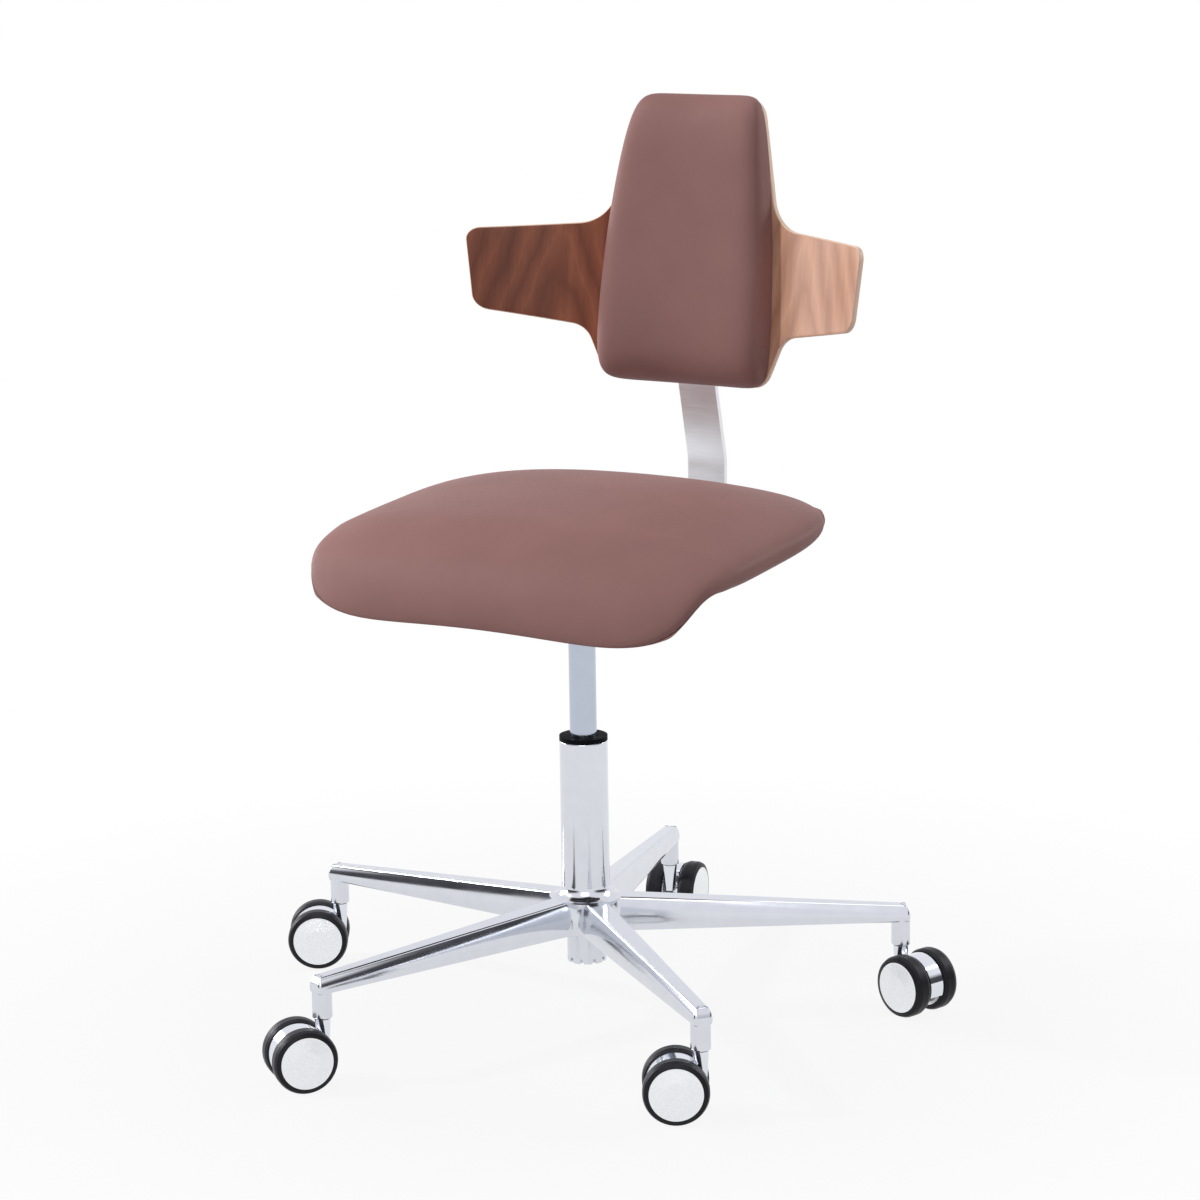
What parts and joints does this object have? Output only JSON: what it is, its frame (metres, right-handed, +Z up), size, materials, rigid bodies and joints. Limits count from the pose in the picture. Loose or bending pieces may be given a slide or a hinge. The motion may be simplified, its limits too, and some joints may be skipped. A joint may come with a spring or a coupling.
{
  "type": "practitioner stool",
  "caption": "Rolling work stool with a five-star polished base, gas-lift column, padded waterfall seat and a cross-shaped bent-plywood back with a tapered pad.",
  "frame": {"origin": "on the floor, under the axis of the lift column", "axes": "+Z up along the column, the seat faces -Y, +X to the right of someone facing the stool"},
  "size_m": [0.7252, 0.7449, 0.9392],
  "materials": {
    "polished_aluminium": "polished",
    "nut_aluminium": "satin",
    "black_plastic": "satin",
    "steel": "turned",
    "rod_chrome": "polished",
    "tube_chrome": "polished",
    "black_steel": "powder coat",
    "plywood": "black stain",
    "upholstery": "smooth matt leatherette over foam",
    "brushed_bar": "brushed across its width",
    "walnut": "oiled veneer",
    "caster_chrome": "polished",
    "wheel_cap": "satin silver",
    "tread": "matt"
  },
  "bodies": {
    "base": {"star_base": "polished_aluminium", "column_bush": "black_plastic", "bottom_nut": "nut_aluminium", "thrust_bearing": "steel", "caster_stems": "steel"},
    "rod": {"piston_rod": "rod_chrome", "rod_clip": "steel", "piston": "black_plastic"},
    "seat": {"pressure_tube": "tube_chrome", "rod_guide": "black_plastic", "gas_socket": "black_steel", "seat_plate": "black_steel", "seat_screws": "steel", "seat_pan": "plywood", "seat_cushion": "upholstery", "lever_pin": "steel", "bar_guide": "black_steel"},
    "valve": {"valve_pin": "steel"},
    "lever": {"height_lever": "tube_chrome", "lever_grip": "black_plastic"},
    "seat_clamp": {"clamp_knob": "black_plastic", "clamp_stud": "steel"},
    "bar": {"back_bar": "brushed_bar"},
    "back": {"back_shell": "walnut", "back_pad": "upholstery", "back_carrier": "black_plastic", "carrier_screws": "steel"},
    "back_clamp": {"back_knob": "black_plastic", "back_knob_stud": "steel"},
    "caster_1": {"caster_1_hood": "caster_chrome", "caster_1_axle": "steel"},
    "caster_1_left": {"caster_1_wheel_left": "wheel_cap", "caster_1_tyre_left": "tread"},
    "caster_1_right": {"caster_1_wheel_right": "wheel_cap", "caster_1_tyre_right": "tread"},
    "caster_2": {"caster_2_hood": "caster_chrome", "caster_2_axle": "steel"},
    "caster_2_left": {"caster_2_wheel_left": "wheel_cap", "caster_2_tyre_left": "tread"},
    "caster_2_right": {"caster_2_wheel_right": "wheel_cap", "caster_2_tyre_right": "tread"},
    "caster_3": {"caster_3_hood": "caster_chrome", "caster_3_axle": "steel"},
    "caster_3_left": {"caster_3_wheel_left": "wheel_cap", "caster_3_tyre_left": "tread"},
    "caster_3_right": {"caster_3_wheel_right": "wheel_cap", "caster_3_tyre_right": "tread"},
    "caster_4": {"caster_4_hood": "caster_chrome", "caster_4_axle": "steel"},
    "caster_4_left": {"caster_4_wheel_left": "wheel_cap", "caster_4_tyre_left": "tread"},
    "caster_4_right": {"caster_4_wheel_right": "wheel_cap", "caster_4_tyre_right": "tread"},
    "caster_5": {"caster_5_hood": "caster_chrome", "caster_5_axle": "steel"},
    "caster_5_left": {"caster_5_wheel_left": "wheel_cap", "caster_5_tyre_left": "tread"},
    "caster_5_right": {"caster_5_wheel_right": "wheel_cap", "caster_5_tyre_right": "tread"}
  },
  "joints": [
    {"name": "seat_swivel", "type": "hinge", "parent": "base", "child": "rod", "pos_m": [0, 0, 0.07], "axis": [0, 0, 1], "continuous": true},
    {"name": "seat_height", "type": "slide", "parent": "rod", "child": "seat", "axis": [0, 0, 1], "range_m": [-0.13, 0]},
    {"name": "lever_pull", "type": "hinge", "parent": "seat", "child": "lever", "pos_m": [-0.033, 0, 0.489], "axis": [0, 1, 0], "range_deg": [0, 4.5], "stiffness_Nm_per_rad": 3, "springref_deg": -3.44},
    {"name": "valve_press", "type": "slide", "parent": "seat", "child": "valve", "axis": [0, 0, -1], "range_m": [0, 0.0031]},
    {"name": "back_depth", "type": "slide", "parent": "seat", "child": "bar", "axis": [0, 1, 0], "range_m": [-0.025, 0.025]},
    {"name": "seat_clamp_turn", "type": "hinge", "parent": "seat", "child": "seat_clamp", "pos_m": [0, 0.086, 0.455], "axis": [0, 0, 1], "range_deg": [0, 360]},
    {"name": "back_height", "type": "slide", "parent": "bar", "child": "back", "axis": [0, 0.1253, 0.9921], "range_m": [-0.03, 0.03]},
    {"name": "back_clamp_turn", "type": "hinge", "parent": "back", "child": "back_clamp", "pos_m": [0, 0.23704, 0.76112], "axis": [0, -0.9921, 0.1253], "range_deg": [0, 360]},
    {"name": "caster_1_swivel", "type": "hinge", "parent": "base", "child": "caster_1", "pos_m": [0.2745, 0.181, 0.065], "axis": [0, 0, 1], "continuous": true},
    {"name": "caster_1_left_spin", "type": "hinge", "parent": "caster_1", "child": "caster_1_left", "pos_m": [0.29746, 0.17336, 0.0325], "axis": [0.3156, 0.9489, 0], "continuous": true},
    {"name": "caster_1_right_spin", "type": "hinge", "parent": "caster_1", "child": "caster_1_right", "pos_m": [0.29746, 0.17336, 0.0325], "axis": [0.3156, 0.9489, 0], "continuous": true},
    {"name": "caster_2_swivel", "type": "hinge", "parent": "base", "child": "caster_2", "pos_m": [-0.08732, 0.317, 0.065], "axis": [0, 0, 1], "continuous": true},
    {"name": "caster_2_left_spin", "type": "hinge", "parent": "caster_2", "child": "caster_2_left", "pos_m": [-0.09193, 0.34075, 0.0325], "axis": [-0.9816, -0.1908, 0], "continuous": true},
    {"name": "caster_2_right_spin", "type": "hinge", "parent": "caster_2", "child": "caster_2_right", "pos_m": [-0.09193, 0.34075, 0.0325], "axis": [-0.9816, -0.1908, 0], "continuous": true},
    {"name": "caster_3_swivel", "type": "hinge", "parent": "base", "child": "caster_3", "pos_m": [-0.32846, 0.01491, 0.065], "axis": [0, 0, 1], "continuous": true},
    {"name": "caster_3_left_spin", "type": "hinge", "parent": "caster_3", "child": "caster_3_left", "pos_m": [-0.34876, 0.00173, 0.0325], "axis": [0.5446, -0.8387, 0], "continuous": true},
    {"name": "caster_3_right_spin", "type": "hinge", "parent": "caster_3", "child": "caster_3_right", "pos_m": [-0.34876, 0.00173, 0.0325], "axis": [0.5446, -0.8387, 0], "continuous": true},
    {"name": "caster_4_swivel", "type": "hinge", "parent": "base", "child": "caster_4", "pos_m": [-0.11569, -0.30778, 0.065], "axis": [0, 0, 1], "continuous": true},
    {"name": "caster_4_left_spin", "type": "hinge", "parent": "caster_4", "child": "caster_4_left", "pos_m": [-0.13075, -0.32671, 0.0325], "axis": [0.7826, -0.6225, 0], "continuous": true},
    {"name": "caster_4_right_spin", "type": "hinge", "parent": "caster_4", "child": "caster_4_right", "pos_m": [-0.13075, -0.32671, 0.0325], "axis": [0.7826, -0.6225, 0], "continuous": true},
    {"name": "caster_5_swivel", "type": "hinge", "parent": "base", "child": "caster_5", "pos_m": [0.25696, -0.20513, 0.065], "axis": [0, 0, 1], "continuous": true},
    {"name": "caster_5_left_spin", "type": "hinge", "parent": "caster_5", "child": "caster_5_left", "pos_m": [0.23633, -0.21778, 0.0325], "axis": [0.5225, -0.8526, 0], "continuous": true},
    {"name": "caster_5_right_spin", "type": "hinge", "parent": "caster_5", "child": "caster_5_right", "pos_m": [0.23633, -0.21778, 0.0325], "axis": [0.5225, -0.8526, 0], "continuous": true}
  ],
  "couplings": [
    {"joint": "valve_press", "follows": "lever_pull", "m_per_rad": 0.038}
  ]
}
